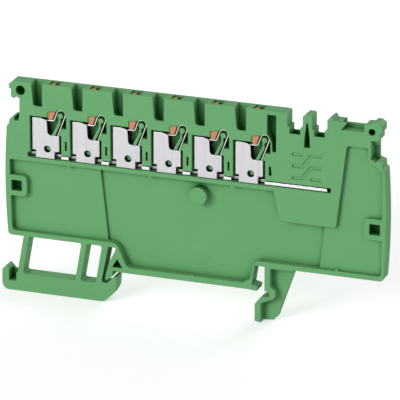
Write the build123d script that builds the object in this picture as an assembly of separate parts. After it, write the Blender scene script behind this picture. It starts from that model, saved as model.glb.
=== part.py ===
"""Push-in distribution terminal block for a 35 mm mounting rail.

One moulded housing, open at the front, holds one current bar and six equal clamps. Each clamp is
a folded cage astride the bar, a leg spring looped round a post of the housing, and a push button
above the spring. Millimetres. The origin is the middle of the face that rests on the rail.
X runs along the block, Z up from the rail, and the open front faces -Y.
"""
import os
from math import cos, radians, sin, tan

from build123d import *

# Mounting rail
rail_width = 35.0
rail_lip = 1.0
rail_play = 0.4

# Overall sizes of the housing
housing_width = 3.3
back_wall = 0.5
block_left = -42.1
block_base = 5.6
head_height = 15.1
side_bow = 0.45
corner_radius = 0.85
edge_radius = 0.3
side_rim = 0.55
rim = 1.05

# Row of clamps
clamp_count = 6
clamp_pitch = 9.27
first_clamp_offset = 5.85

# Clamp cage, folded from sheet
sheet = 0.35
cage_recess = 0.1
cage_depth = 2.65
cage_width = 6.3
cage_neck_width = 3.5
cage_height = 7.3
cage_step_height = 3.6
cage_left_fold = 0.2
cage_right_fold = 0.5
cage_plate_lift = 0.95
tab_inset = 0.85
tab_width = 4.25
tab_drop = 1.7
peg_hole_radius = 0.8
peg_hole_height = 0.4
peg_radius = 0.6
peg_sides = 8
peg_recess = 1.0

# Current bar
bar_thickness = 0.6
bar_height = 24.35
bar_recess = 0.05
bar_neck_recess = 1.2
bar_neck_overlap = 0.4
bar_left_overhang = 0.8
bar_right_tail = 20.6
bar_gap = 0.25

# Clamp spring, bent from strip
strip = 0.22
spring_side_gap = 0.1
loop_radius = 0.98
loop_across = 6.52
loop_rise = 8.38
fixed_leg_angle = 20.3
clamping_leg_angle = 20.3
clamping_leg_height = 6.8
clamping_edge_drop = 1.7
spring_bend_radius = 0.5
knee_height = 1.7
foot_gap = 0.05
wall_gap = 0.2

# Post that carries the spring loop
post_radius = 0.62
post_shift = 0.05
post_drop = 0.15
post_recess = 0.1
tail_width = 0.78
tail_waist = 6.55
leg_clearance = 0.38

# Push button
button_width = 2.15
button_offset = 3.9
button_sunk = 0.35
button_travel = 1.2
button_shoulder = 3.6
lug_width = 1.5
lug_rise = 0.8
lug_slope = 0.4
lug_recess = 0.15
lug_lip = 0.14
lug_gap = 0.2
lug_side_gap = 0.2
shaft_clearance = 0.1
front_wall = 0.4
driver_slot = 1.2
driver_slot_depth = 1.2

# Pocket round each clamp
pocket_left_gap = 0.5
pocket_right_gap = 0.45
pocket_top_gap = 0.35
pocket_foot_gap = 0.15
pocket_sill = 0.2
loop_gap = 0.15
loop_room = 1.42
loop_room_height = 5.4
web_slit_width = 0.42
web_slit_offset = 7.6
web_slit_foot = 0.5
web_slit_height = 2.05
web_slit_depth = 1.5
last_slit_width = 0.65

# Wire entry
funnel_mouth = 2.6
funnel_foot = 2.06
funnel_lean = 0.21
funnel_depth = 5.2
funnel_corner = 0.6
wire_bore = 2.0
wire_axis_offset = 1.41

# Bridge slots and the post between them
bridge_offset = 11.7
bridge_slot = 3.4
bridge_pitch = 5.45
bridge_step = 0.45
bridge_step_depth = 3.1
bridge_slot_depth = 4.6
bridge_shaft_depth = 3.2
post_slit_width = 1.3
post_slit_height = 5.5

# Tall pocket beside the last clamp
relief_offset = 7.15
relief_width = 2.05
relief_height = 8.25
relief_top_gap = 0.95
relief_shoulder = 4.25

# Marker seat and latch heads at the ends
end_bay_length = 12.85
marker_offset = 3.05
marker_length = 5.4
marker_depth = 2.4
marker_ledge = 0.9
marker_lip = 1.4
marker_back_wall = 0.9
neck_inset = 2.95
right_neck_inset = 1.95
neck_bottom = 7.35
neck_top = 3.8
head_overhang = 2.3
latch_hole_left = 1.08
latch_hole_right = 0.75
latch_drop_left = 2.0
latch_drop_right = 2.15
blind_depth = 2.5
grip_depth = 1.5

# Recessed panels
ledge_drop = 1.3
island_drop = 6.65
left_panel_depth = 1.4
middle_panel_depth = 2.05
right_panel_depth = 1.0
square_hole = 2.45
square_hole_inset = 0.9
square_hole_height = 17.1
square_boss_wall = 1.15
spacer_radius = 1.97
spacer_height = 19.8
spacer_stand = 0.2
mark_rows = 3
mark_pitch = 2.65
mark_inset = 1.1
mark_lift = 0.4
mark_length = 2.4
mark_gap = 1.7
mark_height = 0.68
mark_depth = 0.2

# Keel between the rail feet
keel_wall = 1.3
keel_barb = 0.15
web_reach = 1.6

# Springy left foot
beam_height = 4.05
beam_drop = 3.2
strut_width = 1.27
strut_slant = 0.178
strut_1_inset = 5.15
strut_2_offset = 7.15
strut_3_offset = 2.4
strut_3_flare = 0.18
window_radius = 0.45
foot_reach = 25.75
hook_width = 1.6
hook_slot = 1.7
latch_bite = 0.55
latch_play = 0.2

# Fixed right foot
leg_inset = 1.05
leg_width = 1.25
nose_reach = 2.9
nose_drop = 7.15
foot_web_recess = 2.0
foot_web_width = 6.45

# Places that follow from the sizes
front = -housing_width / 2
pocket_depth = housing_width - back_wall
first_clamp = block_left + first_clamp_offset
last_clamp = first_clamp + (clamp_count - 1) * clamp_pitch
bridge_left = last_clamp + bridge_offset
end_bay = bridge_left + bridge_pitch + bridge_slot
block_right = end_bay + end_bay_length
bar_top = bar_height + bar_thickness
plate_foot = bar_top + cage_plate_lift
block_top = plate_foot + head_height
cage_back = cage_recess + cage_depth
ledge = bar_height - ledge_drop
rail_edge = rail_width / 2 + rail_play
beam_top = -beam_drop
beam_foot = beam_top - beam_height
foot_left = -rail_edge - foot_reach
strut_1 = foot_left + strut_1_inset
strut_2 = -rail_edge - strut_2_offset
strut_3 = -rail_edge - strut_3_offset
loop_centre = (loop_across, plate_foot + loop_rise)


def outline(corners):
    """Closed face from corners (x, z) or (x, z, radius)."""
    radii = [corner[2] if len(corner) == 3 else 0 for corner in corners]
    points = [corner[:2] for corner in corners]
    return make_face(FilletPolyline(*points, radius=radii, close=True).edges())


def panel(x0, x1, z0, z1, radius=0):
    """Upright rectangle between two places along X and two heights."""
    return outline([(x, z, radius) for x, z in ((x0, z0), (x1, z0), (x1, z1), (x0, z1))])


def disc(x, z, radius):
    """Round face."""
    return Pos(x, z) * Circle(radius)


def prism(face, near, far):
    """Solid with this outline between two depths behind the open front."""
    return extrude(Plane.XZ.offset(-(front + far)) * face, far - near)


def clamp_places():
    """Left edge of each cage."""
    return [first_clamp + place * clamp_pitch for place in range(clamp_count)]


def bowed_side(x, z0, z1, rise):
    """Sliver between a straight side and the shallow arc that bows out of it."""
    arc = ThreePointArc((x, z0), (x + rise, (z0 + z1) / 2), (x, z1))
    return make_face([*arc.edges(), *Line((x, z1), (x, z0)).edges()])


def left_end():
    """Corners up the left side, over the shoulder and round the left latch head."""
    neck = block_left + neck_inset
    shoulder = block_top - neck_bottom
    head = block_top - neck_top
    tip = neck - head_overhang
    return [
        (block_left, block_base, corner_radius),
        (block_left, shoulder - 3.05, edge_radius),
        (block_left + 0.55, shoulder - 2.4),
        (block_left + 0.6, shoulder - 1.6, edge_radius),
        (neck - 1.7, shoulder - 0.85, edge_radius),
        (neck, shoulder - 0.85),
        (neck + 0.12, head, edge_radius),
        (neck - 0.6, head + 0.3, 0.15),
        (neck - 1.15, head - 0.2, 0.2),
        (neck - 1.85, head + 0.2),
        (neck - 1.85, head + 1.95),
        (tip, head + 2.1),
        (tip, head + 3.0, edge_radius),
        (tip + 0.85, block_top, edge_radius),
    ]


def bridge_gap(left):
    """Corners down into one bridge slot and up again."""
    step = block_top - bridge_step_depth
    floor = block_top - bridge_slot_depth
    right = left + bridge_slot
    return [
        (left, block_top, edge_radius),
        (left, step),
        (left + bridge_step, step),
        (left + bridge_step, floor),
        (right - bridge_step - 0.1, floor),
        (right - bridge_step - 0.1, step - 0.05),
        (right, step + 0.35),
    ]


def right_end():
    """Corners over the marker seat, round the right latch head and down the right side."""
    seat = end_bay + marker_offset
    seat_end = seat + marker_length
    ledge_top = block_top - marker_depth + marker_ledge
    neck = block_right - right_neck_inset
    shoulder = block_top - neck_bottom - 0.9
    head = block_top - neck_top
    return [
        (end_bay, block_top - 0.6),
        (end_bay + 0.75, block_top + 0.1, edge_radius),
        (end_bay + 1.15, block_top + 0.1),
        (end_bay + 1.5, block_top - 0.65),
        (seat + marker_lip, block_top - 0.65),
        (seat + marker_lip, ledge_top),
        (seat_end - 0.8, ledge_top),
        (seat_end - 0.1, block_top - 0.6, edge_radius),
        (seat_end + 1.25, block_top - 0.5),
        (seat_end + 1.75, block_top + 0.05, edge_radius),
        (seat_end + 2.8, block_top + 0.05, 0.4),
        (seat_end + 3.65, block_top - 0.6, edge_radius),
        (seat_end + 3.65, head + 1.8, 0.15),
        (seat_end + 3.2, head + 1.45),
        (seat_end + 3.2, head + 0.15, 0.2),
        (seat_end + 2.4, head - 0.8),
        (neck, shoulder),
        (neck + 1.3, shoulder - 0.4, 0.2),
        (neck + 1.4, shoulder - 1.75),
        (block_right, shoulder - 2.1, edge_radius),
        (block_right, block_base, corner_radius),
    ]


def block_face():
    """Outline of the block above the rail feet."""
    post_corner = bridge_left + bridge_pitch
    corners = left_end() + bridge_gap(bridge_left)
    corners += [
        (bridge_left + bridge_slot, block_top - 0.5),
        (bridge_left + bridge_slot + 0.55, block_top, 0.15),
    ]
    corners += bridge_gap(post_corner)
    face = outline(corners + right_end())
    left_top = block_top - neck_bottom - 3.35
    face += bowed_side(block_left, block_base + corner_radius, left_top, -side_bow)
    right_top = block_top - neck_bottom - 3.25
    return face + bowed_side(block_right, block_base + corner_radius, right_top, side_bow)


def keel_face():
    """Part that reaches down between the feet, with the stop for the rail's left edge."""
    stop = -rail_edge
    arm = stop - web_reach
    barb = rail_width / 2 - 2.2
    return outline([
        (stop - 0.5, block_base + rim),
        (stop - 0.5, block_base),
        (stop + 1.0, block_base, 0.4),
        (arm + 0.85, 2.1, 1.5),
        (arm - 0.15, -1.6, edge_radius),
        (arm + 0.1, -2.3),
        (stop - 0.55, -1.55),
        (stop, -rail_lip - 0.1, 0.1),
        (stop, keel_barb),
        (stop + 1.0, keel_barb),
        (stop + 1.25, 0),
        (barb - 2.0, 0),
        (barb - 1.0, -keel_barb, edge_radius),
        (barb - 0.15, -keel_barb, 0.1),
        (barb, 0.7),
        (barb - 1.4, 1.05, 0.15),
        (barb - 0.7, block_base - 0.2, edge_radius),
        (barb - 0.7, block_base + rim),
    ])


def strut_edge(top, height):
    """Place of a slanted strut's edge at a height, from its place under the block."""
    return top - strut_slant * (block_base - height)


def window_face(left_strut, right_strut):
    """Hole between two struts."""
    left = left_strut + strut_width
    return outline([
        (strut_edge(left, beam_top), beam_top, window_radius),
        (strut_edge(right_strut, beam_top), beam_top, window_radius),
        (right_strut, block_base, window_radius),
        (left, block_base, window_radius),
    ])


def left_foot_face():
    """Beam with a pull hook at its left end and the rail latch at its right end."""
    bite = -rail_edge + rail_play + latch_bite
    latch_top = -rail_lip - latch_play
    channel = beam_top + 0.3
    root = block_base + 0.4
    strut_right = strut_3 + strut_width
    face = outline([
        (foot_left, beam_foot, 1.6),
        (foot_left, beam_top + 0.5, 0.4),
        (foot_left + 0.85, beam_top + 1.4, 0.35),
        (foot_left + 2.1, beam_top),
        (strut_edge(strut_1, beam_top), beam_top),
        (strut_1, block_base),
        (strut_1, root),
        (strut_right + strut_3_flare, root),
        (strut_right + strut_3_flare, block_base),
        (strut_edge(strut_right, channel), channel, 0.5),
        (-rail_edge - 1.35, channel, 0.4),
        (bite - 0.65, latch_top, 0.1),
        (bite, latch_top, 0.15),
        (bite - 0.15, latch_top - 2.55, 1.0),
        (bite - 1.05, latch_top - 4.25, 1.5),
        (bite - 3.1, beam_foot, 1.5),
    ])
    return face - window_face(strut_1, strut_2) - window_face(strut_2, strut_3)


def right_foot_face():
    """Leg with the nose that hooks under the rail, and the web behind it."""
    nose = rail_edge - nose_reach
    leg = rail_edge - leg_inset
    under = -rail_lip - latch_play
    return outline([
        (leg, block_base + 0.4),
        (leg, 0),
        (rail_edge, 0),
        (rail_edge, under, 0.15),
        (leg - 0.6, under - 0.25),
        (nose + 0.4, under - 1.0, 0.6),
        (nose - 0.35, under - 2.0, 0.4),
        (nose - 0.35, -nose_drop + 0.15),
        (nose, -nose_drop),
        (nose + 0.95, -nose_drop - 0.15),
        (nose + 3.3, -nose_drop + 0.05, 0.8),
        (nose + 4.3, -nose_drop + 1.05, 0.6),
        (leg + foot_web_width, block_base),
        (leg + foot_web_width, block_base + 0.4),
    ])


def right_foot_recess():
    """Front recess that leaves the leg and the nose as a rib on the web."""
    rib = rail_edge - leg_inset + leg_width
    nose = rail_edge - nose_reach
    top = block_base - 0.3
    below = -nose_drop - 1.0
    return outline([
        (rib, top, 0.5),
        (rib, 1.3, 0.3),
        (rail_edge + 1.35, 0.3, 0.4),
        (rail_edge + 1.35, -1.1, 0.4),
        (rail_edge + 0.95, -1.6, 0.3),
        (nose + 1.0, -2.95),
        (nose + 1.0, below),
        (rib + foot_web_width, below),
        (rib + foot_web_width, top),
    ])


def pusher_left(height):
    """Right edge of the lug, which runs beside the clamping leg of the spring."""
    return leg_line(height) - (strip / 2 + lug_side_gap) / cos(radians(clamping_leg_angle))


def leg_line(height):
    """Middle of the clamping leg at a height above the cage's foot, beside the loop."""
    start = tangent_point(clamping_leg_angle, -1)
    return start[0] - tan(radians(clamping_leg_angle)) * (start[1] - height)


def fixed_line(height):
    """Middle of the fixed leg at a height."""
    start = tangent_point(fixed_leg_angle, 1)
    return start[0] - tan(radians(fixed_leg_angle)) * (start[1] - height)


def tangent_point(angle, side):
    """Where a leg leaves the loop, on its right (1) or on its left (-1)."""
    turn = radians(angle)
    x, z = loop_centre
    return (x + side * loop_radius * cos(turn), z - side * loop_radius * sin(turn))


def spring_path():
    """Middle line of the bent strip, from its foot over the loop to the clamping edge."""
    knee = plate_foot + knee_height
    right = tangent_point(fixed_leg_angle, 1)
    left = tangent_point(clamping_leg_angle, -1)
    bend = plate_foot + clamping_leg_height
    foot = FilletPolyline(
        (fixed_line(knee), bar_top + sheet + foot_gap),
        (fixed_line(knee), knee),
        right,
        radius=[spring_bend_radius],
    )
    over = ThreePointArc(right, (loop_centre[0], loop_centre[1] + loop_radius), left)
    clamping = FilletPolyline(
        left,
        (leg_line(bend), bend),
        (cage_neck_width - 0.3, bend),
        (sheet + wall_gap, bend - clamping_edge_drop),
        radius=[spring_bend_radius, spring_bend_radius],
    )
    return [*foot.edges(), *over.edges(), *clamping.edges()]


def post_face():
    """Post inside the spring loop, with the tail that runs down between the legs."""
    x = loop_centre[0] + post_shift
    z = loop_centre[1] - post_drop
    waist = plate_foot + tail_waist
    foot = plate_foot + cage_step_height + pocket_foot_gap
    foot_right = fixed_line(foot) - strip / 2 - leg_clearance
    tail = outline([
        (x - 0.42, z),
        (x - 0.45, waist + 0.15, 0.6),
        (foot_right - tail_width, foot),
        (foot_right, foot),
        (x, waist - 0.15, 0.4),
        (x, z),
    ])
    return disc(x, z, post_radius) + tail


def button_face():
    """Outline of the push button: a broad head, a slimmer lug and a slanted nose."""
    left = button_offset
    right = left + button_width
    top = block_top - button_sunk
    shoulder = block_top - button_shoulder
    tip = plate_foot + clamping_leg_height + strip / 2 + lug_gap
    lug_left = left - lug_lip
    lug_right = lug_left + lug_width
    slant_top = tip + (lug_right - pusher_left(tip)) / tan(radians(clamping_leg_angle))
    return outline([
        (left, top),
        (right - driver_slot, top),
        (right - driver_slot, top - driver_slot_depth),
        (right, top - driver_slot_depth),
        (right, shoulder),
        (lug_right, shoulder),
        (lug_right, slant_top, 0.2),
        (pusher_left(tip), tip, 0.2),
        (lug_left, tip, 0.45),
        (lug_left, lug_height() - lug_slope),
        (left, lug_height() - lug_slope),
    ])


def lug_height():
    """Height at which the lug widens in front, under the front wall."""
    return loop_centre[1] + lug_rise


def lug_face():
    """Front part of the lug, which stops under the slanted edge of the front wall."""
    left = button_offset - lug_lip
    right = left + lug_width
    window = outline([
        (left, plate_foot),
        (right, plate_foot),
        (right, lug_height()),
        (left, lug_height() - lug_slope),
    ])
    return button_face() & window


def shaft_pocket():
    """Room behind the front wall in which the button slides."""
    left = button_offset - shaft_clearance
    right = button_offset + button_width + shaft_clearance
    lug_right = button_offset - lug_lip + lug_width + shaft_clearance
    shelf = block_top - button_shoulder - button_travel - shaft_clearance
    top = block_top + 1
    wide = panel(left, right, shelf, top)
    return wide + panel(left, lug_right, loop_centre[1], top)


def clamp_pocket():
    """Room for one cage and its spring, with the way for the lug and the loop."""
    x, z = loop_centre
    left = -pocket_left_gap
    foot = plate_foot - tab_drop - pocket_sill
    top = plate_foot + cage_height + pocket_top_gap
    step = plate_foot + cage_step_height + pocket_foot_gap
    right = cage_width + pocket_right_gap
    lug_left = button_offset - lug_lip - shaft_clearance
    lug_right = lug_left + lug_width + 2 * shaft_clearance
    gap = strip / 2 + loop_gap
    room_foot = plate_foot + loop_room_height
    room = outline([
        (left, foot),
        (right, foot),
        (right, step),
        (fixed_line(step) + gap + 0.1, step),
        (fixed_line(room_foot) + gap + 0.1, room_foot),
        (x + loop_room, room_foot),
        (x + loop_room, z - 0.3),
        (x, z),
        (lug_right, z),
        (lug_right, top),
        (left, top),
    ])
    lug_way = outline([
        (lug_left, top - 0.5),
        (lug_right, top - 0.5),
        (lug_right, lug_height() + shaft_clearance),
        (lug_left, lug_height() - lug_slope + shaft_clearance),
    ])
    return room + lug_way + disc(x, z, loop_radius + gap)


def funnel():
    """Wire entry: a tapered mouth, open to the front, that ends in a round bore."""
    wire_depth = cage_recess + cage_depth / 2
    bore_foot = plate_foot + cage_height
    foot = block_top - funnel_depth
    shapes = []
    for height, middle, width, back in (
        (foot, wire_axis_offset, funnel_foot, wire_depth + wire_bore / 2),
        (block_top, wire_axis_offset - funnel_lean, funnel_mouth, pocket_depth),
    ):
        section = Pos(middle, front - 1 + (back + 1) / 2, height) * Rectangle(width, back + 1)
        shapes.append(section)
    mouth = loft(shapes)
    low = mouth.edges().filter_by(Axis.Y).group_by(Axis.Z)[0]
    mouth = fillet(low.sort_by(Axis.X)[0], funnel_corner)
    bore = Pos(wire_axis_offset, front + wire_depth, bore_foot) * Circle(wire_bore / 2)
    return mouth + extrude(bore, foot - bore_foot + funnel_corner)


def clamp_cutters():
    """Everything that one clamp takes out of the housing, at the first clamp's own place."""
    cutter = prism(clamp_pocket(), -1, pocket_depth)
    cutter -= prism(post_face(), post_recess, pocket_depth)
    peg = Pos(peg_place(), plate_foot + peg_hole_height) * RegularPolygon(peg_radius, peg_sides)
    cutter -= prism(peg, peg_recess, pocket_depth)
    cutter += prism(shaft_pocket(), front_wall, pocket_depth)
    cutter += funnel()
    slit_right = web_slit_offset + web_slit_width
    slit_foot = plate_foot + web_slit_foot
    slit = panel(web_slit_offset, slit_right, slit_foot, slit_foot + web_slit_height)
    return cutter + prism(slit, -1, web_slit_depth)


def peg_place():
    """Place along the cage of the hole over the housing's peg."""
    return tab_inset + tab_width * 0.62


def bar_slot():
    """Slot along the block for the current bar."""
    left = first_clamp - bar_left_overhang - bar_gap
    right = last_clamp + bar_right_tail + 0.85
    face = panel(left, right, bar_height - bar_gap, bar_top + bar_gap)
    return prism(face, -1, pocket_depth)


def spacer_faces():
    """Round spacers that stand up from the middle panel."""
    middle = (block_left + block_right) / 2 + 1.05
    return disc(middle, spacer_height, spacer_radius)


def square_places():
    """Middle of the square hole near each end."""
    inset = square_hole_inset + square_hole / 2
    return (block_left + inset, block_right - inset)


def panel_cutters():
    """Three recessed panels under the clamps, with their bosses left standing."""
    left = block_left + side_rim
    right = block_right - side_rim
    floor = block_base + rim
    split_left = -rail_edge - 3.15
    split_foot = split_left + 1.75
    split_right = end_bay - 0.65
    island_left = bridge_left - 3.0
    island_foot = ledge - island_drop
    island_right = end_bay + 2.1
    panel_top = block_top - neck_bottom + 1.5
    keel_left = -rail_edge + 3.3
    keel_right = rail_edge - 5.3
    left_face = outline([
        (left, ledge),
        (split_left, ledge),
        (split_foot, floor),
        (left + 0.4, floor, 1.0),
    ])
    middle_face = outline([
        (split_left, ledge),
        (island_left, ledge),
        (island_left + 1.35, island_foot, 0.6),
        (split_right, island_foot),
        (split_right - 1.1, floor),
        (keel_right + 1.9, floor, 1.6),
        (keel_right + 0.9, keel_wall + 1.0, 1.2),
        (keel_right - 0.6, keel_wall, 0.8),
        (keel_left, keel_wall, 1.5),
        (keel_left - 2.3, floor, 1.8),
        (split_foot, floor),
    ])
    right_face = outline([
        (split_right, island_foot),
        (island_right, island_foot, 0.6),
        (end_bay + 4.35, panel_top, 0.7),
        (right - 3.2, panel_top),
        (right - 3.2, panel_top - 2.75, 0.3),
        (right, panel_top - 5.1, 0.3),
        (right, floor, 0.8),
        (split_right - 1.1, floor),
    ])
    left_cut = prism(left_face, -1, left_panel_depth)
    right_cut = prism(right_face, -1, right_panel_depth)
    for place in square_places():
        half = square_hole / 2 + square_boss_wall
        boss = panel(place - half, place + half, square_hole_height - half, square_hole_height + half, 1.0)
        left_cut -= prism(boss, -2, housing_width)
        right_cut -= prism(boss, -2, housing_width)
    middle_cut = prism(middle_face, -1, middle_panel_depth)
    middle_cut -= prism(spacer_faces(), -2, housing_width)
    return [left_cut, middle_cut, right_cut]


def blind_holes():
    """Square coding holes, latch holes, slits and notches that stop short of the back."""
    half = square_hole / 2
    cuts = []
    for place in square_places():
        hole = panel(place - half, place + half, square_hole_height - half, square_hole_height + half, 0.3)
        cuts.append(prism(hole, -1, blind_depth))
    neck = block_left + neck_inset
    left_hole = disc(neck + 0.35, block_top - latch_drop_left, latch_hole_left)
    cuts.append(prism(left_hole, -1, blind_depth))
    right_x = end_bay + marker_offset + marker_length + 1.4
    right_hole = disc(right_x, block_top - latch_drop_right, latch_hole_right)
    cuts.append(prism(right_hole, -1, blind_depth))
    shoulder = block_top - neck_bottom
    notch = panel(neck - 1.15, neck - 0.15, shoulder - 1.65, shoulder + 1)
    cuts.append(prism(notch, -1, blind_depth))
    right_neck = block_right - right_neck_inset
    ramp = outline([
        (right_neck - 1.2, shoulder - 0.95),
        (right_neck - 0.75, shoulder - 1.1),
        (right_neck - 0.15, shoulder - 1.55),
        (right_neck + 0.15, shoulder - 1.05),
        (right_neck + 0.9, shoulder - 0.3),
        (right_neck + 0.9, shoulder + 2),
        (right_neck - 1.2, shoulder + 2),
    ])
    cuts.append(prism(ramp, -1, blind_depth))
    grip = panel(right_neck - 1.2, right_neck + 1.5, shoulder, block_top - neck_top - 0.3)
    cuts.append(prism(grip, -1, grip_depth))
    return cuts


def relief_cut():
    """Tall pocket beside the last clamp, narrowed by the curve of that clamp's pocket."""
    left = last_clamp + relief_offset
    right = left + relief_width
    top = block_top - relief_top_gap
    foot = top - relief_height
    face = outline([
        (left, top),
        (right, top),
        (right, foot),
        (left + 1.22, foot),
        (left + 1.05, foot + 2.2, 1.0),
        (left, top - relief_shoulder, 0.8),
    ])
    return prism(face, -1, blind_depth)


def last_slit():
    """Slit beside the last clamp, wider than the others and widest at its foot."""
    left = last_clamp + web_slit_offset
    inner = left + web_slit_width / 2
    foot = plate_foot + web_slit_foot
    top = foot + web_slit_height
    face = outline([
        (inner, foot),
        (left + last_slit_width, foot),
        (left + web_slit_width + 0.05, top),
        (inner, top),
    ])
    return prism(face, -1, web_slit_depth)


def bridge_cuts():
    """Shafts in the floors of the bridge slots, and the tapered slit between them."""
    floor = block_top - bridge_slot_depth
    cuts = []
    for left in (bridge_left, bridge_left + bridge_pitch):
        shaft = panel(
            left + bridge_step,
            left + bridge_slot - bridge_step - 0.1,
            floor - bridge_shaft_depth,
            floor + 0.5,
        )
        cuts.append(prism(shaft, front_wall / 2, pocket_depth))
    middle = bridge_left + bridge_slot + (bridge_pitch - bridge_slot) / 2 - 0.05
    half = post_slit_width / 2
    foot = block_top - neck_bottom
    slit = outline([
        (middle - half, foot),
        (middle + half, foot),
        (middle + half * 0.92, foot + post_slit_height * 0.35),
        (middle + half * 0.25, foot + post_slit_height),
        (middle - half * 0.25, foot + post_slit_height),
        (middle - half * 0.92, foot + post_slit_height * 0.35),
    ])
    cuts.append(prism(slit, -1, blind_depth))
    return cuts


def marker_cuts():
    """Marker seat, open to the front, with a lip that keeps a marker in."""
    seat = end_bay + marker_offset
    seat_end = seat + marker_length - 0.35
    floor = block_top - marker_depth
    top = block_top + 1
    deep = panel(seat + 0.2, seat_end, floor, top)
    behind = panel(seat + 0.35, seat + marker_lip + 0.2, floor + marker_ledge, top)
    lip = outline([
        (seat, floor),
        (seat_end, floor),
        (seat_end, top),
        (seat + marker_lip, top),
        (seat + marker_lip, block_top - 0.6),
    ])
    return [
        prism(deep, front_wall, housing_width - marker_back_wall),
        prism(behind, front_wall, housing_width + 1),
        prism(lip, -1, front_wall),
    ]


def index_marks():
    """Plain rows of grooves under the bridge slots, each joined to the next by a slanted stroke."""
    left = bridge_left + mark_inset
    left_end = left + mark_length
    right = left_end + mark_gap
    right_end = right + mark_length
    low = plate_foot + mark_lift
    high = low + (mark_rows - 1) * mark_pitch
    shapes = [
        panel(left, left_end, high, high + mark_height),
        panel(right, right_end, low, low + mark_height),
    ]
    for row in range(1, mark_rows):
        foot = low + row * mark_pitch
        below = foot - mark_pitch
        shapes.append(outline([
            (left, below),
            (left_end, below),
            (right + 0.4, foot),
            (right_end, foot),
            (right_end, foot + mark_height),
            (right, foot + mark_height),
            (left_end - 0.4, below + mark_height),
            (left, below + mark_height),
        ]))
    return [prism(shape, -1, mark_depth) for shape in shapes]


def make_housing():
    """The moulding: outline of block, keel and feet, less every pocket and panel."""
    face = block_face() + keel_face() + left_foot_face() + right_foot_face()
    body = prism(face, 0, housing_width)
    slot_left = foot_left + hook_width
    slot = panel(slot_left, slot_left + hook_slot, beam_top - 1.9, beam_top + 2)
    triangle_left = -rail_edge - 0.1
    triangle = outline([
        (triangle_left, 1.0),
        (triangle_left + 2.4, 1.0),
        (triangle_left + 1.2, 3.0),
    ])
    cuts = [
        prism(slot, -1, blind_depth),
        prism(triangle, -1, blind_depth),
        prism(right_foot_recess(), -1, foot_web_recess),
        bar_slot(),
        relief_cut(),
        last_slit(),
        *panel_cutters(),
        *blind_holes(),
        *bridge_cuts(),
        *marker_cuts(),
        *index_marks(),
    ]
    cutter = clamp_cutters()
    cuts += [Pos(place, 0, 0) * cutter for place in clamp_places()]
    body = body.cut(*[solid for cut in cuts for solid in Compound(cut).solids()])
    return body + prism(spacer_faces(), -spacer_stand, middle_panel_depth)


def make_bar():
    """Tinned strip, notched at the front where each cage passes."""
    left = first_clamp - bar_left_overhang
    right = last_clamp + bar_right_tail
    depth = cage_back - sheet - 0.05
    bar = prism(panel(left, right, bar_height, bar_top), bar_recess, depth)
    for place in clamp_places():
        notch = panel(
            place - bar_left_overhang - 0.1,
            place + cage_width + bar_neck_overlap,
            bar_height - 1,
            bar_top + 1,
        )
        bar -= prism(notch, -1, bar_neck_recess)
    return bar


def make_cage(place):
    """Folded cage: two side plates, the contact wall, a back stop and a floor on the bar."""
    top = plate_foot + cage_height
    step = plate_foot + cage_step_height
    tab_foot = plate_foot - tab_drop
    front_shape = outline([
        (0, plate_foot),
        (cage_width, plate_foot),
        (cage_width, step),
        (cage_neck_width + 0.05, step, 0.8),
        (cage_neck_width - 0.15, top - 0.35, 0.5),
        (cage_neck_width - 1.4, top),
        (0, top),
    ])
    back_shape = panel(0, cage_width, plate_foot, step) + panel(0, cage_neck_width, step, top)
    cage = prism(front_shape, cage_recess, cage_recess + cage_right_fold)
    cage += prism(back_shape, cage_recess + cage_right_fold, cage_back)
    edges = cage.edges().filter_by(Axis.Z)
    left_fold = edges.group_by(Axis.X)[0].sort_by(Axis.Y)[0]
    cage = fillet(left_fold, cage_left_fold)
    edges = cage.edges().filter_by(Axis.Z)
    right_fold = edges.group_by(Axis.X)[-1].sort_by(Axis.Y)[0]
    cage = fillet(right_fold, cage_right_fold)
    inside = panel(sheet, cage_width - sheet, plate_foot - 1, top + 1)
    cage -= prism(inside, cage_recess + sheet, cage_back - sheet)
    tab = panel(tab_inset, tab_inset + tab_width, tab_foot, plate_foot + sheet)
    cage += prism(tab, cage_recess, cage_recess + sheet)
    cage += prism(tab, cage_back - sheet, cage_back)
    floor = panel(tab_inset, tab_inset + tab_width, bar_top, bar_top + sheet)
    cage += prism(floor, cage_recess, cage_back)
    hole_z = plate_foot + peg_hole_height
    cage -= prism(disc(peg_place(), hole_z, peg_hole_radius), -1, cage_recess + sheet)
    half = peg_hole_radius
    back_hole = panel(peg_place() - half, peg_place() + half, hole_z - half, hole_z + half)
    cage -= prism(back_hole, cage_recess + sheet, housing_width)
    return Pos(place, 0, 0) * cage


def make_spring(place):
    """Strip of spring steel, bent along its path."""
    near = cage_recess + sheet + spring_side_gap
    far = cage_back - sheet - spring_side_gap
    strip_face = trace(spring_path(), strip)
    return Pos(place, 0, 0) * prism(strip_face, near, far)


def make_button(place):
    """Push button whose head is stepped to hold a screwdriver tip."""
    near = front_wall + shaft_clearance
    far = pocket_depth - shaft_clearance
    button = prism(button_face(), near, far) + prism(lug_face(), lug_recess, far)
    return Pos(place, 0, 0) * button


def main():
    """Write each piece to its own file."""
    os.makedirs("parts", exist_ok=True)
    pieces = {"housing": make_housing(), "current_bar": make_bar()}
    for number, place in enumerate(clamp_places(), start=1):
        pieces[f"clamp_cage_{number}"] = make_cage(place)
        pieces[f"clamp_spring_{number}"] = make_spring(place)
        pieces[f"pusher_{number}"] = make_button(place)
    for name, piece in pieces.items():
        export_step(piece, f"parts/{name}.step")


main()
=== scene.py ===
"""Push-in distribution terminal block: springs, mould marks, finishes, light and camera."""
import math

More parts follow.
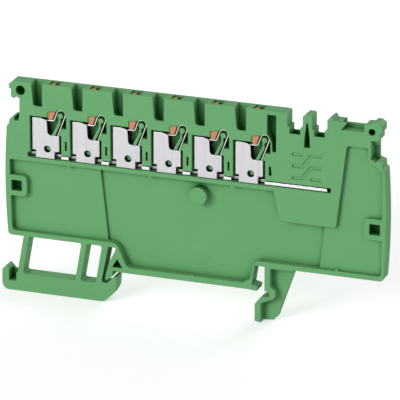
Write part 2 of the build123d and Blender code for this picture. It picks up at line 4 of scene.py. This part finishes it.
import bpy
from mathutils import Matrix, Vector


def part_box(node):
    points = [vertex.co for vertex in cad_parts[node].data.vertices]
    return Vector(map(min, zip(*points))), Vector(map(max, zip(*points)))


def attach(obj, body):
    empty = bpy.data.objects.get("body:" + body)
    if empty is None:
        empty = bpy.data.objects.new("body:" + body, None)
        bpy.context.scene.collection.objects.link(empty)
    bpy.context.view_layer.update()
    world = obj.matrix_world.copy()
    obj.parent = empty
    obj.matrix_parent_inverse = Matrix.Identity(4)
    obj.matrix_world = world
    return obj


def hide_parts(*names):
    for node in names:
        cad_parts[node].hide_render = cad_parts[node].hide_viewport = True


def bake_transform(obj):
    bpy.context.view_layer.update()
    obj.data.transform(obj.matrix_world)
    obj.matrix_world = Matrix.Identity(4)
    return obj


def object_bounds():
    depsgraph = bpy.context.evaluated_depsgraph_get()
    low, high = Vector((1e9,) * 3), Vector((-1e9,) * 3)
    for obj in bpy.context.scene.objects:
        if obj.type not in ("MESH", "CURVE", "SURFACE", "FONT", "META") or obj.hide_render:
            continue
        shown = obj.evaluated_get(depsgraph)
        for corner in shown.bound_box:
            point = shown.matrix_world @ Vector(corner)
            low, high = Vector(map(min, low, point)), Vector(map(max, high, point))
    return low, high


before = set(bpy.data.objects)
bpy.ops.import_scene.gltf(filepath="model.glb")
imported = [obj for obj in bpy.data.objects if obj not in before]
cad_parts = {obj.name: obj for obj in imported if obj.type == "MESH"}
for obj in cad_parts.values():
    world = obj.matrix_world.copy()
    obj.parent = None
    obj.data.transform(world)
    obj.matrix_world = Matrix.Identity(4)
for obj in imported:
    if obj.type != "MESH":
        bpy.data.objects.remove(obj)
cad_box = [list(corner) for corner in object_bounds()]

MM = 0.001
CLAMPS = range(1, 7)

# Plane of the housing's open front
FRONT = -1.65 * MM

# Camera, as worked out from the photograph's lines: degrees, metres, and millimetres for the lens
VIEW_AZIMUTH = 19.7
VIEW_ELEVATION = 20.25
VIEW_DISTANCE = 1.0115
VIEW_LENS = 426.15
VIEW_SENSOR = 36
VIEW_TARGET = Vector((2.21, -1.65, 18.99)) * MM

# Colours, each in the open, and as painted shade deep in a pocket (SHADE)
GREEN = (0.139, 0.366, 0.155)
GREEN_SHADE = (0.005, 0.100, 0.010)
ORANGE = (0.50, 0.22, 0.092)
ORANGE_SHADE = (0.11, 0.045, 0.006)
NICKEL = (0.64, 0.63, 0.645)
NICKEL_SHADE = (0.006, 0.014, 0.007)
TIN = (0.80, 0.82, 0.80)
TIN_SHADE = (0.02, 0.03, 0.02)
STEEL = (0.78, 0.79, 0.76)
STEEL_SHADE = (0.16, 0.20, 0.15)

# Radii of the edges that the finishes round, in millimetres
HOUSING_EDGE = 0.22
MARK_EDGE = 0.03
BUTTON_EDGE = 0.15
CAGE_EDGE = 0.06
BAR_EDGE = 0.08
SPRING_EDGE = 0.04

# Clamp spring, in millimetres from the left edge and the foot of its cage's plate
CAGE_HEIGHT = 7.3
STRIP_THICKNESS = 0.22
STRIP_NEAR = 0.45
STRIP_WIDTH = 1.75
STRIP_BREAK = 0.03
LOOP_RADIUS = 0.98
LOOP_ACROSS = 6.52
LOOP_RISE = 8.38
LEG_ANGLE = 20.3
BEND_RADIUS = 0.5
SPRING_FOOT = -0.55
KNEE = 1.7
CLAMPING_HEIGHT = 6.8
NECK_ACROSS = 3.2
EDGE_ACROSS = 0.55
EDGE_DROP = 1.7
CONTACT_ACROSS = 4.5

# Both legs lean alike, and meet the loop at its right and its left end
LEAN = math.radians(LEG_ANGLE)
LOOP_RIGHT = (LOOP_ACROSS + LOOP_RADIUS * math.cos(LEAN), LOOP_RISE - LOOP_RADIUS * math.sin(LEAN))
LOOP_LEFT = (LOOP_ACROSS - LOOP_RADIUS * math.cos(LEAN), LOOP_RISE + LOOP_RADIUS * math.sin(LEAN))

# Studio, in metres and watts. The floor keeps the shadow near the block and is plain white far off
FLOOR_SIZE = 6.0
FLOOR_PALE = (0.75, 0.75, 0.75)
FLOOR_LIFT = 0.45
SHADOW_REACH = 0.3
WHITE_FROM = 0.8
WHITE = (1.0, 1.0, 1.0)
WORLD_STRENGTH = 0.44
KEY_PLACE = (-0.3, -0.65, 0.3)
KEY_SIZE = 0.35
KEY_POWER = 3.5
FILL_PLACE = (0.5, -0.6, 0.2)
FILL_SIZE = 0.4
FILL_POWER = 0.7
BACK_PLACE = (0.2, 0.75, 0.25)
BACK_SIZE = 0.4
BACK_POWER = 3.5

# Small marks of the mould, as places (x, z) in millimetres, with their feet behind the front
LEDGE_PIPS = ((-27.78, 22.83), (-9.16, 22.83), (9.45, 22.83))
RIM_PIPS = ((32.98, 6.65), (0.36, 1.1))
PIP_RADIUS = 0.42
PIP_FOOT = 0.5
PIP_STAND = 0.45
EJECTOR_MARK = (1.5, 5.9)
EJECTOR_RADIUS = 2.5
EJECTOR_FOOT = 2.05
EJECTOR_STAND = 0.03
MARK_SIDES = 48
MARK_BREAK = 0.15


def deselect():
    """Nothing stays selected, so that an operator acts only on what is picked next."""
    bpy.ops.object.select_all(action="DESELECT")


class Signal:
    """A value in a node tree. Arithmetic on it adds Math nodes."""

    def __init__(self, tree, socket):
        self.tree = tree
        self.socket = socket

    def math(self, operation, first, second):
        """Math node on two values, each another node's output or a number."""
        node = self.tree.nodes.new("ShaderNodeMath")
        node.operation = operation
        for socket, value in zip(node.inputs, (first, second)):
            plug(self.tree, socket, value)
        return Signal(self.tree, node.outputs[0])

    def __add__(self, other):
        return self.math("ADD", self, other)

    def __radd__(self, other):
        return self.math("ADD", other, self)

    def __mul__(self, other):
        return self.math("MULTIPLY", self, other)

    def __rmul__(self, other):
        return self.math("MULTIPLY", other, self)


def plug(tree, socket, value):
    """Puts a number, a colour or another node's output into a socket."""
    if isinstance(value, Signal):
        tree.links.new(value.socket, socket)
    elif isinstance(value, tuple) and len(value) == 3 and socket.type == "RGBA":
        socket.default_value = (*value, 1)
    else:
        socket.default_value = value


class Nodes:
    """The nodes of a material or of the world, built up from none."""

    def __init__(self, owner):
        owner.use_nodes = True
        self.tree = owner.node_tree
        self.tree.nodes.clear()

    def node(self, kind, settings=None, values=None, output=0):
        """Adds a node of this kind, sets it up, fills its sockets and returns one output."""
        made = self.tree.nodes.new(kind)
        for key, setting in (settings or {}).items():
            setattr(made, key, setting)
        sockets = {socket.identifier: socket for socket in made.inputs}
        for key, value in (values or {}).items():
            plug(self.tree, sockets[key], value)
        return Signal(self.tree, made.outputs[output]) if made.outputs else None

    def mix(self, factor, first, second):
        """Surface between two, by a factor."""
        values = {"Fac": factor, "Shader": first, "Shader_001": second}
        return self.node("ShaderNodeMixShader", values=values)

    def seen_rays(self):
        """One for rays of the camera, of mirrors and through glass, so that these see plain white."""
        seen = self.node("ShaderNodeLightPath", output="Is Camera Ray")
        for kind in ("Is Glossy Ray", "Is Transmission Ray"):
            values = {"Value": seen, "Value_001": self.node("ShaderNodeLightPath", output=kind)}
            seen = self.node("ShaderNodeMath", settings={"operation": "MAXIMUM"}, values=values)
        return seen


class Finish(Nodes):
    """A material under construction."""

    def __init__(self, name):
        self.material = bpy.data.materials.new(name)
        super().__init__(self.material)

    def place(self):
        """Place on the piece, in metres."""
        return self.node("ShaderNodeTexCoord", output="Object")

    def noise(self, size, detail=2.0, stretch=(1, 1, 1)):
        """Soft random pattern whose patches are about this large, in millimetres."""
        scale = tuple(1 / (size * MM) * s for s in stretch)
        where = self.node("ShaderNodeMapping", values={"Vector": self.place(), "Scale": scale})
        return self.node("ShaderNodeTexNoise", values={"Vector": where, "Scale": 1.0, "Detail": detail})

    def blend(self, factor, first, second):
        """Colour between two, by a factor. The node's third output is the one for colours."""
        return self.node(
            "ShaderNodeMix",
            settings={"data_type": "RGBA"},
            values={"Factor_Float": factor, "A_Color": first, "B_Color": second},
            output=2,
        )

    def painted_shade_mask(self, reach, shut, clear, alone=False):
        """Mask for the painted shade, from ambient occlusion: one on open faces, falling to nothing in
        pockets that are narrower than this reach.
        """
        seen = self.node(
            "ShaderNodeAmbientOcclusion",
            settings={"samples": 12, "only_local": alone},
            values={"Distance": reach * MM},
            output="AO",
        )
        return self.node(
            "ShaderNodeMapRange",
            settings={"interpolation_type": "SMOOTHSTEP"},
            values={"Value": seen, "From Min": shut, "From Max": clear},
        )

    def soft_edge(self, radius):
        """Normal that rounds every edge by this many millimetres."""
        return self.node("ShaderNodeBevel", settings={"samples": 6}, values={"Radius": radius * MM})

    def bump(self, height, distance, normal):
        """Fine relief of this depth in millimetres."""
        values = {"Strength": 1.0, "Distance": distance * MM, "Height": height, "Normal": normal}
        return self.node("ShaderNodeBump", values=values)

    def close(self, surface):
        """Closes the material with this surface."""
        self.node("ShaderNodeOutputMaterial", values={"Surface": surface})
        return self.material

    def finish(self, **values):
        """Closes the material with a plastic or metal surface of these values."""
        named = {key.replace("_", " "): value for key, value in values.items()}
        return self.close(self.node("ShaderNodeBsdfPrincipled", values=named))


def toned(colour, factor):
    """The colour, darker or lighter by this factor."""
    return tuple(factor * c for c in colour)


def green_plastic(name, edge):
    """Moulded polyamide of the housing, with its edges rounded by this many millimetres."""
    finish = Finish(name)
    patches = finish.noise(9.0, detail=3.0)
    grain = finish.noise(0.25)
    surface = finish.blend(patches, toned(GREEN, 0.96), toned(GREEN, 1.04))
    # Painted shade: the green darkens to GREEN_SHADE in pockets and recesses, by the housing's own
    # ambient occlusion
    painted_light = finish.painted_shade_mask(reach=3.5, shut=0.04, clear=0.85, alone=True)
    return finish.finish(
        Base_Color=finish.blend(painted_light, GREEN_SHADE, surface),
        Roughness=0.45 + 0.1 * patches,
        Normal=finish.bump(grain, 0.004, finish.soft_edge(edge)),
        Specular_IOR_Level=0.03,
    )


def orange_plastic():
    """Moulded polyamide of the push buttons."""
    finish = Finish("orange_plastic")
    grain = finish.noise(0.2)
    # Painted shade: the orange darkens to ORANGE_SHADE where the buttons sit in pockets, by ambient
    # occlusion
    painted_light = finish.painted_shade_mask(reach=1.2, shut=0.2, clear=0.95)
    return finish.finish(
        Base_Color=finish.blend(painted_light, ORANGE_SHADE, ORANGE),
        Roughness=0.4 + 0.1 * grain,
        Normal=finish.bump(grain, 0.003, finish.soft_edge(BUTTON_EDGE)),
    )


def nickel_plate():
    """Satin nickel on the folded cages, with faint upright rolling lines."""
    finish = Finish("nickel_plate")
    lines = finish.noise(0.6, detail=3.0, stretch=(1, 1, 0.04))
    surface = finish.blend(lines, toned(NICKEL, 0.9), toned(NICKEL, 1.08))
    # Painted shade: the nickel darkens to NICKEL_SHADE in recesses around the cages, by ambient
    # occlusion
    painted_light = finish.painted_shade_mask(reach=2.5, shut=0.1, clear=0.8)
    return finish.finish(
        Base_Color=finish.blend(painted_light, NICKEL_SHADE, surface),
        Metallic=1.0,
        Roughness=0.22 + 0.08 * lines,
        Normal=finish.bump(lines, 0.002, finish.soft_edge(CAGE_EDGE)),
    )


def bright_tin():
    """Tin plating of the current bar."""
    finish = Finish("bright_tin")
    cloud = finish.noise(1.5, stretch=(0.3, 1, 1))
    # Painted shade: the tin darkens to TIN_SHADE where the bar runs in narrow slots, by ambient
    # occlusion
    painted_light = finish.painted_shade_mask(reach=2.0, shut=0.1, clear=0.8)
    return finish.finish(
        Base_Color=finish.blend(painted_light, TIN_SHADE, TIN),
        Metallic=1.0,
        Roughness=0.26 + 0.1 * cloud,
        Normal=finish.soft_edge(BAR_EDGE),
    )


def spring_steel():
    """Rolled strip of the clamp springs."""
    finish = Finish("spring_steel")
    rolled = finish.noise(0.4, stretch=(0.2, 1, 0.2))
    # Painted shade: the steel darkens to STEEL_SHADE where the housing and posts close in, by ambient
    # occlusion
    painted_light = finish.painted_shade_mask(reach=1.0, shut=0.0, clear=0.6)
    return finish.finish(
        Base_Color=finish.blend(painted_light, STEEL_SHADE, STEEL),
        Metallic=1.0,
        Roughness=0.24 + 0.1 * rolled,
        Normal=finish.soft_edge(SPRING_EDGE),
    )


def dress(nodes, material):
    """Gives CAD nodes their finish."""
    for name in nodes:
        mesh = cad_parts[name].data
        mesh.materials.clear()
        mesh.materials.append(material)


def complete(piece, material, broken, segments, sharp, smooth):
    """Breaks the sharp edges, shades the rest smooth and adds the finish. Angles are in degrees."""
    edge = piece.modifiers.new("edge", "BEVEL")
    edge.width = broken * MM
    edge.segments = segments
    edge.limit_method = "ANGLE"
    edge.angle_limit = math.radians(sharp)
    for name in [modifier.name for modifier in piece.modifiers]:
        bpy.ops.object.modifier_apply(modifier=name)
    bpy.ops.object.shade_smooth_by_angle(angle=math.radians(smooth))
    piece.data.materials.append(material)


class Strip:
    """A bent strip, drawn along its middle line by extruding and spinning its last edge."""

    def __init__(self, name, place, heading):
        deselect()
        bpy.ops.mesh.primitive_plane_add(size=STRIP_WIDTH * MM, location=place)
        bpy.ops.object.transform_apply(location=True, rotation=False, scale=False)
        self.piece = bpy.context.object
        self.piece.name = name
        self.place = Vector(place)
        self.heading = math.radians(heading)
        bpy.ops.object.mode_set(mode="EDIT")
        bpy.ops.mesh.select_all(action="SELECT")
        bpy.ops.transform.resize(value=(0, 1, 1), center_override=place)
        bpy.ops.mesh.remove_doubles(threshold=0.01 * MM)
        bpy.ops.mesh.select_all(action="SELECT")

    def run(self, length, steps=1):
        """Straight on for this many millimetres."""
        step = Vector((math.cos(self.heading), 0, math.sin(self.heading))) * length * MM / steps
        for _ in range(steps):
            bpy.ops.mesh.extrude_region_move(TRANSFORM_OT_translate={"value": step})
            self.place += step

    def aside(self, distance):
        """Step to the left of the strip's heading, in millimetres."""
        return Vector((-math.sin(self.heading), 0, math.cos(self.heading))) * distance * MM

    def turn(self, degrees, radius, steps):
        """Round a bend, anticlockwise as seen from the front."""
        reach = math.copysign(radius, degrees)
        centre = self.place + self.aside(reach)
        angle = math.radians(degrees)
        bpy.ops.mesh.spin(steps=steps, angle=angle, center=centre, axis=(0, 1, 0))
        self.heading += angle
        self.place = centre - self.aside(reach)

    def close(self, material):
        """Gives the strip its thickness and its slightly broken edges."""
        bpy.ops.mesh.select_all(action="SELECT")
        bpy.ops.mesh.remove_doubles(threshold=0.001 * MM)
        bpy.ops.mesh.normals_make_consistent(inside=False)
        bpy.ops.object.mode_set(mode="OBJECT")
        sheet = self.piece.modifiers.new("sheet", "SOLIDIFY")
        sheet.thickness = STRIP_THICKNESS * MM
        sheet.offset = 0
        complete(self.piece, material, STRIP_BREAK, segments=1, sharp=50, smooth=35)
        return self.piece


def leg_across(end, rise):
    """How far across a leg is at this rise, when it meets the loop at this end."""
    return end[0] - math.tan(LEAN) * (end[1] - rise)


def bend_trim(angle):
    """Length that a bend of this angle takes from the straight run on each side of it."""
    return BEND_RADIUS * math.tan(angle / 2)


def fixed_leg(name, spot, material):
    """Foot and fixed leg, and the loop as far as its left end."""
    strip = Strip(name, spot(leg_across(LOOP_RIGHT, KNEE), SPRING_FOOT), 90)
    strip.run(KNEE - SPRING_FOOT - bend_trim(LEAN))
    strip.turn(-LEG_ANGLE, BEND_RADIUS, steps=4)
    strip.run((LOOP_RIGHT[1] - KNEE) / math.cos(LEAN) - bend_trim(LEAN))
    strip.turn(180, LOOP_RADIUS, steps=28)
    return strip.close(material)


def clamping_leg(name, spot, material):
    """Leg from the loop's left end down to where the button rests on it, and on to its edge."""
    turn = math.pi / 2 - LEAN
    fall = math.atan2(EDGE_DROP, NECK_ACROSS - EDGE_ACROSS)
    level = leg_across(LOOP_LEFT, CLAMPING_HEIGHT) - NECK_ACROSS
    strip = Strip(name, spot(*LOOP_LEFT), 270 - LEG_ANGLE)
    strip.run((LOOP_LEFT[1] - CLAMPING_HEIGHT) / math.cos(LEAN) - bend_trim(turn), steps=8)
    strip.turn(-math.degrees(turn), BEND_RADIUS, steps=8)
    strip.run(level - bend_trim(turn) - bend_trim(fall), steps=3)
    strip.turn(math.degrees(fall), BEND_RADIUS, steps=4)
    strip.run(math.hypot(EDGE_DROP, NECK_ACROSS - EDGE_ACROSS) - bend_trim(fall), steps=3)
    return strip.close(material)


def spring(number, material):
    """Clamp spring in two pieces: foot with loop, and the clamping leg on which a pusher rests."""
    low, high = (Vector(corner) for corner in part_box(f"clamp_cage_{number}"))
    middle = low.y + (STRIP_NEAR + STRIP_WIDTH / 2) * MM
    plate_foot = high.z - CAGE_HEIGHT * MM

    def spot(across, rise):
        return Vector((low.x + across * MM, middle, plate_foot + rise * MM))

    loop = fixed_leg(f"spring_loop_{number}", spot, material)
    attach(loop, "block")
    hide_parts(f"clamp_spring_{number}")

    leg = clamping_leg(f"spring_leg_{number}", spot, material)
    spot(*LOOP_LEFT)
    spot(CONTACT_ACROSS, CLAMPING_HEIGHT)
    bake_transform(leg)
    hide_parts(f"clamp_spring_{number}")


def mould_mark(name, place, foot, radius, stand, material):
    """Low round stub that stands up towards the open side, with its foot this far behind the front."""
    deselect()
    x, z = place
    y = FRONT + (foot - stand / 2) * MM
    bpy.ops.mesh.primitive_cylinder_add(
        vertices=MARK_SIDES,
        radius=radius * MM,
        depth=stand * MM,
        location=(x * MM, y, z * MM),
        rotation=(math.pi / 2, 0, 0),
    )
    bpy.ops.object.transform_apply(location=True, rotation=True, scale=False)
    made = bpy.context.object
    made.name = name
    complete(made, material, min(MARK_BREAK, stand / 3), segments=2, sharp=30, smooth=40)
    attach(made, "block")


def area_lamp(name, place, size, power):
    """Square soft box that faces the block."""
    lamp = bpy.data.lights.new(name, "AREA")
    lamp.shape = "SQUARE"
    lamp.size = size
    lamp.energy = power
    made = bpy.data.objects.new(name, lamp)
    bpy.context.scene.collection.objects.link(made)
    made.location = place
    made.rotation_euler = (VIEW_TARGET - Vector(place)).to_track_quat("-Z", "Y").to_euler()


def floor():
    """Pale floor under the block. The camera sees it as white but for the block's soft shadow."""
    deselect()
    bpy.ops.mesh.primitive_plane_add(size=FLOOR_SIZE, location=(0, 0, cad_box[0][2]))
    made = bpy.context.object
    made.name = "floor"
    finish = Finish("floor")
    away = finish.node(
        "ShaderNodeVectorMath",
        settings={"operation": "LENGTH"},
        values={"Vector": finish.place()},
        output="Value",
    )
    far = finish.node(
        "ShaderNodeMapRange",
        values={"Value": away, "From Min": SHADOW_REACH, "From Max": WHITE_FROM},
    )
    pale = finish.node("ShaderNodeBsdfDiffuse", values={"Color": FLOOR_PALE})
    lift = finish.node("ShaderNodeEmission", values={"Color": WHITE, "Strength": FLOOR_LIFT})
    near = finish.node("ShaderNodeAddShader", values={"Shader": pale, "Shader_001": lift})
    white = finish.node("ShaderNodeEmission", values={"Color": WHITE, "Strength": 1.0})
    shown = finish.mix(far, near, white)
    made.data.materials.append(finish.close(finish.mix(finish.seen_rays(), pale, shown)))


def light():
    """Soft studio light, and a world that the camera sees as white."""
    world = bpy.data.worlds.new("studio")
    bpy.context.scene.world = world
    nodes = Nodes(world)
    soft = nodes.node("ShaderNodeBackground", values={"Color": WHITE, "Strength": WORLD_STRENGTH})
    white = nodes.node("ShaderNodeBackground", values={"Color": WHITE, "Strength": 1.0})
    nodes.node("ShaderNodeOutputWorld", values={"Surface": nodes.mix(nodes.seen_rays(), soft, white)})
    area_lamp("key", KEY_PLACE, KEY_SIZE, KEY_POWER)
    area_lamp("fill", FILL_PLACE, FILL_SIZE, FILL_POWER)
    area_lamp("back", BACK_PLACE, BACK_SIZE, BACK_POWER)


def camera():
    """Long lens at the photograph's angle."""
    data = bpy.data.cameras.new("camera")
    made = bpy.data.objects.new("camera", data)
    bpy.context.scene.collection.objects.link(made)
    azimuth = math.radians(VIEW_AZIMUTH)
    elevation = math.radians(VIEW_ELEVATION)
    back = Vector((
        math.sin(azimuth) * math.cos(elevation),
        -math.cos(azimuth) * math.cos(elevation),
        math.sin(elevation),
    ))
    made.location = VIEW_TARGET + back * VIEW_DISTANCE
    made.rotation_mode = "QUATERNION"
    made.rotation_quaternion = (-back).to_track_quat("-Z", "Y")
    data.lens = VIEW_LENS
    data.sensor_width = VIEW_SENSOR
    data.clip_start = 0.01
    data.clip_end = 10
    bpy.context.scene.camera = made


green = green_plastic("green_plastic", HOUSING_EDGE)
mark_green = green_plastic("green_mark", MARK_EDGE)
steel = spring_steel()
dress(["housing"], green)
dress(["current_bar"], bright_tin())
dress([f"clamp_cage_{n}" for n in CLAMPS], nickel_plate())
dress([f"pusher_{n}" for n in CLAMPS], orange_plastic())
for number in CLAMPS:
    spring(number, steel)
for count, pip in enumerate(LEDGE_PIPS + RIM_PIPS, start=1):
    mould_mark(f"mould_pip_{count}", pip, PIP_FOOT, PIP_RADIUS, PIP_STAND, mark_green)
mould_mark("ejector_mark", EJECTOR_MARK, EJECTOR_FOOT, EJECTOR_RADIUS, EJECTOR_STAND, mark_green)
floor()
light()
camera()
bpy.context.scene.view_settings.view_transform = "Standard"
